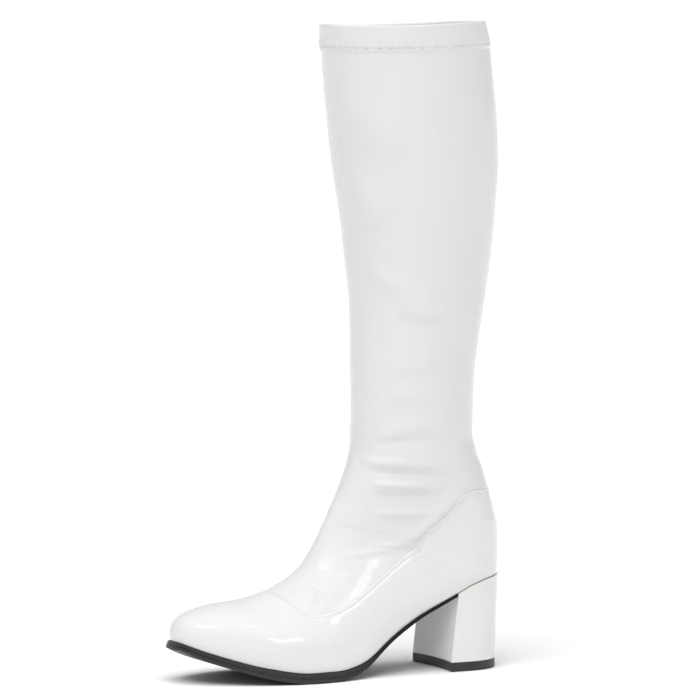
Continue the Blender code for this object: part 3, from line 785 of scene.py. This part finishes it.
def make_vamp(material):
    """The last's surface with lap and folds laid on, which fade towards the feather line."""
    place, around, distance = vamp_grid()
    halves = []
    for side in (-1, 1):
        bare = on_last(place, around, side)
        rise = np.clip((bare[..., 2] - seat(bare[..., 0])) / LASTED_RISE, 0, 1)
        slack = SLACK * waves(place, around, side) * np.exp(-(distance / WAVE_REACH) ** 2)
        relief = lap_relief(distance) + folds(place, around, side) + slack
        halves.append(bare + out_of_last(place, around, side) * (relief * rise)[..., None])
    whole = slice(0, len(place))
    join_sides(*halves, [(0, whole), (-1, whole)])
    return mesh_from_grids("vamp_and_counter", halves, material), halves


high_gloss = finish("high_gloss_patent", VAMP_WHITE, VAMP_SHADE, rough=(0.10, 0.16),
                    bump=0.00010, grain=700, wrinkle=45, share=0.6, coat=0.8)
vamp, vamp_halves = make_vamp(high_gloss)
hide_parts("upper")

# Thread: white polyester, a lockstitch along the vamp's edge and a flat elastic stitch
# round the hem, each stitch a short rounded bar half sunk into its furrow.
STITCH_PITCH = 0.0031
STITCH_LENGTH = 0.0023
STITCH_RADIUS = 0.00024
STITCH_LIFT = 0.00012
HEM_POINTS = 400
THREAD_WHITE = (0.74, 0.735, 0.715)
THREAD_SHADE = (0.66, 0.655, 0.635)


def stitches(name, path, normal, material, closed=False, rings=7):
    """Rounded bars in even steps along a path: rings whose radius is the root of 1 - t^4
    and whose middle sinks towards both ends, set out with the path's direction, its normal
    and their cross product."""
    if closed:
        path = np.concatenate([path, path[:1]])
        normal = np.concatenate([normal, normal[:1]])
    length = np.concatenate([[0], np.cumsum(np.linalg.norm(np.diff(path, axis=0), axis=1))])
    at = np.arange(STITCH_PITCH / 2, length[-1], STITCH_PITCH)
    middle, before, after, out = (
        np.stack([np.interp(np.clip(at + shift, 0, length[-1]), length, column)
                  for column in values.T], axis=-1)
        for values, shift in ((path, 0), (path, -STITCH_LENGTH / 2),
                              (path, STITCH_LENGTH / 2), (normal, 0)))
    ahead = (after - before) / np.linalg.norm(after - before, axis=1, keepdims=True)
    beside = np.cross(ahead, out)
    beside = beside / np.linalg.norm(beside, axis=1, keepdims=True)
    out = np.cross(beside, ahead)
    along = np.linspace(-1, 1, rings)
    radius = STITCH_RADIUS * np.sqrt(np.clip(1 - along ** 4, 0, 1))
    turn = np.linspace(0, 2 * math.pi, rings)
    sunk = STITCH_RADIUS / 2 * along[:, None] ** 2
    bar = np.stack([STITCH_LENGTH / 2 * along[:, None] + 0 * turn,
                    radius[:, None] * np.cos(turn),
                    radius[:, None] * np.sin(turn) * 0.8 - sunk], axis=-1)
    frame_of = np.stack([ahead, beside, out], axis=1)
    bars = middle[:, None, None] + np.einsum("rcj,njk->nrck", bar, frame_of)
    return mesh_from_grids(name, list(bars), material)


thread = finish("thread", THREAD_WHITE, THREAD_SHADE, rough=(0.5, 0.65),
                bump=0.00008, grain=3000, wrinkle=400, share=0.3)
sewn = int(np.argmin(np.abs(EDGE_STEPS - SEW_IN)))
place, around, _ = vamp_grid()
sides = [(half[sewn], out_of_last(place[sewn], around[sewn], side))
         for half, side in zip(vamp_halves, (-1, 1))]
vamp_path = np.concatenate([sides[0][0], sides[1][0][::-1]])
vamp_out = np.concatenate([sides[0][1], sides[1][1][::-1]])
vamp_path = vamp_path + STITCH_LIFT * vamp_out
vamp_thread = stitches("vamp_thread", vamp_path, vamp_out, thread)

around = np.linspace(0, 1, HEM_POINTS)
place = np.full(HEM_POINTS, HEM_HEIGHT - COLLAR - HEM_STITCH)
rings = []
for side in (-1, 1):
    lift = hem_relief(place, around, side) + folds(place, around, side) + STITCH_LIFT
    out = out_of_last(place, around, side)
    rings.append((on_last(place, around, side) + out * lift[:, None], out))
hem_path = np.concatenate([rings[0][0], rings[1][0][-2:0:-1]])
hem_out = np.concatenate([rings[0][1], rings[1][1][-2:0:-1]])
hem_thread = stitches("hem_thread", hem_path, hem_out, thread, closed=True)

# Lining: thin off-white knit glued to the back of the patent, from under the hem's turned
# edge down to the insole; it shows only through the collar.
LINING_UNDER_HEM = 0.002
LINING_TOE = 0.003
LINING_SPLIT = 0.004
LINING_LOW = 0.02
LINING_FOLLOW = 0.3
LINING_WHITE = (0.70, 0.69, 0.665)
LINING_SHADE = (0.62, 0.61, 0.585)


def stations(first, last, count):
    """Places in even steps of stretched length between two places."""
    return unstretch(np.linspace(stretch(np.array(first)), stretch(np.array(last)), count))


def make_lining(material, columns=60):
    """The last's surface moved in by the wall, from inside the collar to the toe; it
    follows the folds in part. In the foot it ends at the insole."""
    leg = -np.linspace(COLLAR - HEM_INSIDE - LINING_UNDER_HEM, 0, 120)
    place = np.concatenate([leg, stations(0, TOE_PLACE - LINING_TOE, 90)[1:]])[:, None]
    around = np.where(place < LINING_SPLIT, np.linspace(0, 1, columns),
                      np.linspace(LINING_LOW, 1, columns))
    place = place + 0 * around
    halves = []
    for side in (-1, 1):
        inset = UPPER_WALL - LINING_FOLLOW * folds(place, around, side)
        halves.append(on_last(place, around, side)
                      - out_of_last(place, around, side) * inset[..., None])
    whole = slice(0, len(place))
    closed = slice(0, int(np.argmax(place[:, 0] >= LINING_SPLIT)))
    join_sides(*halves, [(-1, whole), (0, closed)])
    return mesh_from_grids("lining", halves, material)


knit = finish("lining_knit", LINING_WHITE, LINING_SHADE, rough=(0.75, 0.85),
              bump=0.0003, grain=1800, wrinkle=120, share=0.25)
lining = make_lining(knit)
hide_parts("upper")

# Insole: fibre board under a thin padded sock, cut to the feather line less the upper's
# wall and glued in on the outsole and the heel seat.
CLEARANCE = 0.0003
INSOLE_THICKNESS = 0.003
SOCK_CROWN = 0.0008
SOCK_EDGE = 0.0006
SOCK_WHITE = (0.72, 0.71, 0.69)
SOCK_SHADE = (0.66, 0.65, 0.625)


def rim_x(a, out):
    """x of a station, with the round ends of heel and toe moved out by out."""
    heel = np.clip(1 - a / HEEL_ROUND, 0, 1)
    toe = np.clip(1 - (TOE_PLACE - a) / TOE_ROUND, 0, 1)
    return SEAT_BACK_X - a + out * (heel - toe)


def rim_y(x, t, out):
    """Sideways place of a share t across the bottom, the edge moved out by out."""
    return t * np.where(t < 0, feather(x, -1, out), feather(x, 1, out)) + swing(x)


def block(name, along, across, levels, place, material):
    """Closed solid from place(a, t, r): station a, share t across from the lateral edge
    at -1 to the medial at 1, level r from the underside 0 to the top 1."""
    a, t = np.meshgrid(along, across, indexing="ij")
    sheets = [place(a, t, np.zeros_like(a)), place(a, t, np.ones_like(a))]
    a, r = np.meshgrid(along, levels, indexing="ij")
    sheets += [place(a, np.full_like(a, side), r) for side in (-1.0, 1.0)]
    t, r = np.meshgrid(across, levels, indexing="ij")
    sheets += [place(np.full_like(t, end), t, r) for end in (along[0], along[-1])]
    return mesh_from_grids(name, sheets, material)


def insole_place(a, t, r):
    """Board and sock: flat below, crowned across by 1 - t squared, its rim a half round."""
    inset = -(UPPER_WALL + 4 * CLEARANCE) - SOCK_EDGE * (1 - np.sqrt(1 - (2 * r - 1) ** 2))
    x = rim_x(a, inset)
    rise = r * (INSOLE_THICKNESS - SOCK_CROWN + SOCK_CROWN * (1 - t * t))
    return np.stack([x, rim_y(x, t, inset), seat(x) + rise], axis=-1)


sock = finish("sock_lining", SOCK_WHITE, SOCK_SHADE, rough=(0.65, 0.8),
              bump=0.0002, grain=2200, wrinkle=90, share=0.3)
insole = block("insole_sock", stations(0, TOE_PLACE, 160), np.linspace(-1, 1, 25),
               (1 - np.cos(np.linspace(0, math.pi, 7))) / 2, insole_place, sock)
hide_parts("insole")

# Outsole: a black moulded rubber unit, cemented under the lasted upper. Its edge has fine
# ribs and small bevels; the tread is cross grooves inside a plain border.
BREAST_SHARE = 0.38
BREAST_X = -BREAST_SHARE * HEEL_DEPTH
BREAST_PLACE = SEAT_BACK_X - BREAST_X
SOLE_EDGE = 0.0012
SOLE_FLARE = 0.0016
RIB_DEPTH = 0.00035
BREAST_HOLLOW = 0.003
BREAST_FADE = 0.020
RIB_WAVES = 3
TREAD_PITCH = 0.0034
TREAD_DEPTH = 0.0006
TREAD_FROM = 0.075
TREAD_TOE = 0.008
TREAD_FADE = 0.004
TREAD_SIDE = 7
SOLE_BEVEL = 0.0005
BEVEL_LOW = 0.08
BEVEL_TOP = 0.93
RUBBER_BLACK = (0.010, 0.010, 0.011)
RUBBER_SHADE = (0.020, 0.020, 0.021)


def sole_place(a, t, r):
    """Outsole: the feather line moved out, flared to the floor, with cosine ribs up its
    edge and a bevel below and above, by the square of the share of its height; the
    underside has clipped sine grooves that fade at the border."""
    tail = np.clip(1 - (a - BREAST_PLACE) / BREAST_FADE, 0, 1)
    ahead = np.clip((a - BREAST_PLACE) / (BREAST_X - TOE_X), 0, 1)
    corner = SOLE_BEVEL * (np.clip(1 - r / BEVEL_LOW, 0, 1) ** 2
                           + np.clip((r - BEVEL_TOP) / (1 - BEVEL_TOP), 0, 1) ** 2)
    rib = RIB_DEPTH * np.cos(2 * math.pi * RIB_WAVES * r) * np.clip(4 * r * (1 - r), 0, 1)
    out = SOLE_EDGE + SOLE_FLARE * (1 - r) * np.sqrt(ahead) + rib - corner
    x = rim_x(a, out) + (BREAST_HOLLOW * (1 - t * t) - 2 * CLEARANCE) * tail
    top = seat(x) - CLEARANCE
    inside = np.clip((1 - np.abs(t)) * TREAD_SIDE - 0.5, 0, 1)
    inside = inside * np.clip((a - TREAD_FROM) / TREAD_FADE, 0, 1)
    inside = inside * np.clip((TOE_PLACE - TREAD_TOE - a) / TREAD_FADE, 0, 1)
    wave = np.clip(2.5 * np.sin(2 * math.pi * a / TREAD_PITCH) + 0.5, 0, 1)
    low = under(x) + TREAD_DEPTH * inside * wave * (r == 0)
    return np.stack([x, rim_y(x, t, out), low + r * (top - low)], axis=-1)


rubber = finish("black_rubber", RUBBER_BLACK, RUBBER_SHADE, rough=(0.38, 0.52),
                bump=0.00012, grain=1400, wrinkle=90, share=0.3)
levels = np.concatenate([[0, 0.02, 0.05, BEVEL_LOW], np.linspace(0.11, 0.9, 26),
                         [BEVEL_TOP, 0.95, 0.98, 1]])
outsole = block("sole_unit", stations(BREAST_PLACE, TOE_PLACE, 460), np.linspace(-1, 1, 49),
                levels, sole_place, rubber)
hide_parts("outsole")

# Heel: a moulded block under a stretched cover of white patent, glued round the sides,
# the back and the hollow breast, and pinned up through the heel seat.
HEEL_BASE_WIDTH = 0.059
HEEL_TAPER = 1.5
BREAST_CURVE = 3
TOP_PIECE_THICKNESS = 0.006
COVER_ROUND = 0.0008
COVER_WHITE = (0.715, 0.713, 0.700)
COVER_SHADE = (0.695, 0.692, 0.678)
HEEL_STATIONS = 56


def heel_outline(a, t, r):
    """Heel in plan: the seat's outline above, the wearing face's D shape below, mixed by
    the level along the heel and by its power HEEL_TAPER across; the breast is hollowed by
    1 - t squared."""
    ahead = a / BREAST_PLACE
    floor_back = HEEL_DEPTH / 2
    floor_x = floor_back - ahead * HEEL_DEPTH
    seat_x = rim_x(a, SOLE_EDGE)
    x = floor_x + r * (seat_x - floor_x) + BREAST_HOLLOW * (1 - t * t) * ahead ** BREAST_CURVE
    seat_half = rim_y(seat_x, t, SOLE_EDGE)
    floor_half = t * HEEL_BASE_WIDTH / 2 * rounding(floor_back - floor_x, HEEL_ROUND, HEEL_POWER)
    return x, floor_half + r ** HEEL_TAPER * (seat_half - floor_half)


def heel_place(a, t, r):
    """Covered block between the top piece and the seat, its top cut to the seat line."""
    x, y = heel_outline(a, t, r)
    low = TOP_PIECE_THICKNESS + CLEARANCE
    return np.stack([x, y, low + r * (seat(x) - CLEARANCE - low)], axis=-1)


def soften(made, width):
    """Rounds the sharp edges of a closed piece by a bevel of three steps."""
    bevel = made.modifiers.new("soft_edges", "BEVEL")
    bevel.width = width
    bevel.segments = 3
    bevel.limit_method = "ANGLE"
    bevel.angle_limit = math.radians(40)


cover = finish("heel_cover", COVER_WHITE, COVER_SHADE, rough=(0.14, 0.24),
               bump=0.0001, grain=800, wrinkle=70, share=0.5, coat=0.6)
heel = block("heel_block", stations(0, BREAST_PLACE, HEEL_STATIONS), np.linspace(-1, 1, 33),
             np.linspace(0, 1, 41), heel_place, cover)
soften(heel, COVER_ROUND)
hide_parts("heel")

# Top piece: hard black rubber in one moulded slice, nailed and glued under the heel and
# ground flush with its cover.
TOP_PIECE_ROUND = 0.0005


def top_piece_place(a, t, r):
    """Wearing piece: the heel's D shape on the floor, straight up through its thickness."""
    x, y = heel_outline(a, t, np.zeros_like(r))
    return np.stack([x, y, r * TOP_PIECE_THICKNESS], axis=-1)


top_piece = block("top_lift", stations(0, BREAST_PLACE, HEEL_STATIONS), np.linspace(-1, 1, 25),
                  np.linspace(0, 1, 7), top_piece_place, rubber)
soften(top_piece, TOP_PIECE_ROUND)
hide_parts("top_piece")

# Floor: seamless white paper, rolled out flat under the boot.
PAPER_WHITE = (0.97, 0.97, 0.97)
PAPER_SHADE = (0.965, 0.965, 0.965)
FLOOR_SIZE = 30.0
FLOOR_SINK = 0.0002

paper = finish("paper", PAPER_WHITE, PAPER_SHADE, rough=(0.7, 0.8),
               bump=0.0001, grain=300, wrinkle=8, share=0.5)


def plane_grid(size, count):
    """Flat square just under the floor's level, count by count points."""
    line = np.linspace(-size / 2, size / 2, count)
    x, y = np.meshgrid(line, line, indexing="ij")
    return np.stack([x, y, np.full_like(x, -FLOOR_SINK)], axis=-1)


floor = mesh_from_grids("floor", [plane_grid(FLOOR_SIZE, 9)], paper)

# Light: a white studio with one broad overhead lamp. Soft boxes in front, at the toe and
# behind the heel only fill, and four small ones draw the glints on ankle, throat and toe:
# name, place, aim, width and height, watts, and whether the gloss shows it.
SOFT_BOXES = (
    ("front", (-1.9, -1.7, 1.7), (-0.1, 0.0, 0.2), (1.7, 1.4), 3.6, False),
    ("outer_side", (0.30, -2.25, 1.33), (-0.05, 0.0, 0.1), (0.80, 0.30), 3.0, True),
    ("toe_side", (-1.35, -1.50, 1.50), (-0.07, 0.0, 0.12), (0.90, 0.55), 1.4, False),
    ("ankle_glint", (-1.44, -0.64, 1.86), (-0.07, 0.0, 0.12), (1.05, 0.40), 2.2, True),
    ("throat_glint", (0.26, -1.54, 1.93), (-0.07, 0.0, 0.12), (0.46, 0.28), 0.5, True),
    ("top", (-0.11, -0.80, 1.93), (-0.10, -0.02, 0.08), (0.30, 0.22), 0.3, True),
    ("back_edge", (2.5, -0.4, 0.9), (0.0, 0.0, 0.25), (0.4, 1.4), 6.0, False),
)
OVERHEAD_POWER = 2.6
OVERHEAD_SPREAD = 60
OVERHEAD_FROM = (-0.272, -0.324, 0.906)
STUDIO_LIGHT = 0.35
STUDIO_IN_GLOSS = 0.75
BACKDROP = 1.05


def add_lamp(data, in_gloss):
    """Puts a lamp into the scene, seen in glossy surfaces or not."""
    lamp = bpy.data.objects.new(data.name, data)
    lamp.visible_glossy = in_gloss
    bpy.context.scene.collection.objects.link(lamp)
    return lamp


for name, place, aim, size, power, in_gloss in SOFT_BOXES:
    box = bpy.data.lights.new(name, "AREA")
    box.shape = "RECTANGLE"
    box.size, box.size_y = size
    box.energy = power
    lamp = add_lamp(box, in_gloss)
    lamp.location = place
    lamp.rotation_euler = (Vector(aim) - Vector(place)).to_track_quat("-Z", "Y").to_euler()

overhead = bpy.data.lights.new("overhead", "SUN")
overhead.energy = OVERHEAD_POWER
overhead.angle = math.radians(OVERHEAD_SPREAD)
lamp = add_lamp(overhead, False)
lamp.rotation_euler = Vector(OVERHEAD_FROM).to_track_quat("Z", "Y").to_euler()

world = bpy.data.worlds.new("studio")
bpy.context.scene.world = world
world.use_nodes = True
studio = world.node_tree
ambient = studio.nodes["Background"]
ambient.inputs["Color"].default_value = (1.0, 1.0, 1.0, 1.0)
backdrop = studio.nodes.new("ShaderNodeBackground")
backdrop.inputs["Color"].default_value = (1.0, 1.0, 1.0, 1.0)
backdrop.inputs["Strength"].default_value = BACKDROP
ray = studio.nodes.new("ShaderNodeLightPath")
surround = studio.nodes.new("ShaderNodeMapRange")
surround.inputs["To Min"].default_value = STUDIO_LIGHT
surround.inputs["To Max"].default_value = STUDIO_IN_GLOSS
either = studio.nodes.new("ShaderNodeMixShader")
studio.links.new(ray.outputs["Is Glossy Ray"], surround.inputs["Value"])
studio.links.new(surround.outputs["Result"], ambient.inputs["Strength"])
studio.links.new(ray.outputs["Is Camera Ray"], either.inputs["Fac"])
studio.links.new(ambient.outputs["Background"], either.inputs[1])
studio.links.new(backdrop.outputs["Background"], either.inputs[2])
studio.links.new(either.outputs["Shader"], studio.nodes["World Output"].inputs["Surface"])

scene = bpy.context.scene
scene.view_settings.view_transform = "Standard"
scene.view_settings.look = "None"

# Camera: a long lens from in front of the outer side, a little above the collar.
CAMERA_TURN = math.radians(27.0)
CAMERA_AWAY = 5.05
CAMERA_UP = 0.71
CAMERA_AIM = (-0.0677, 0.0345, 0.2172)
CAMERA_LENS = 381.1
CAMERA_SENSOR = 36.0

camera_data = bpy.data.cameras.new("camera")
camera_data.lens = CAMERA_LENS
camera_data.sensor_width = CAMERA_SENSOR
camera = bpy.data.objects.new("camera", camera_data)
camera.location = (-math.sin(CAMERA_TURN) * CAMERA_AWAY, -math.cos(CAMERA_TURN) * CAMERA_AWAY,
                   CAMERA_UP)
to_boot = Vector(CAMERA_AIM) - camera.location
camera.rotation_euler = to_boot.to_track_quat("-Z", "Y").to_euler()
scene.collection.objects.link(camera)
scene.camera = camera
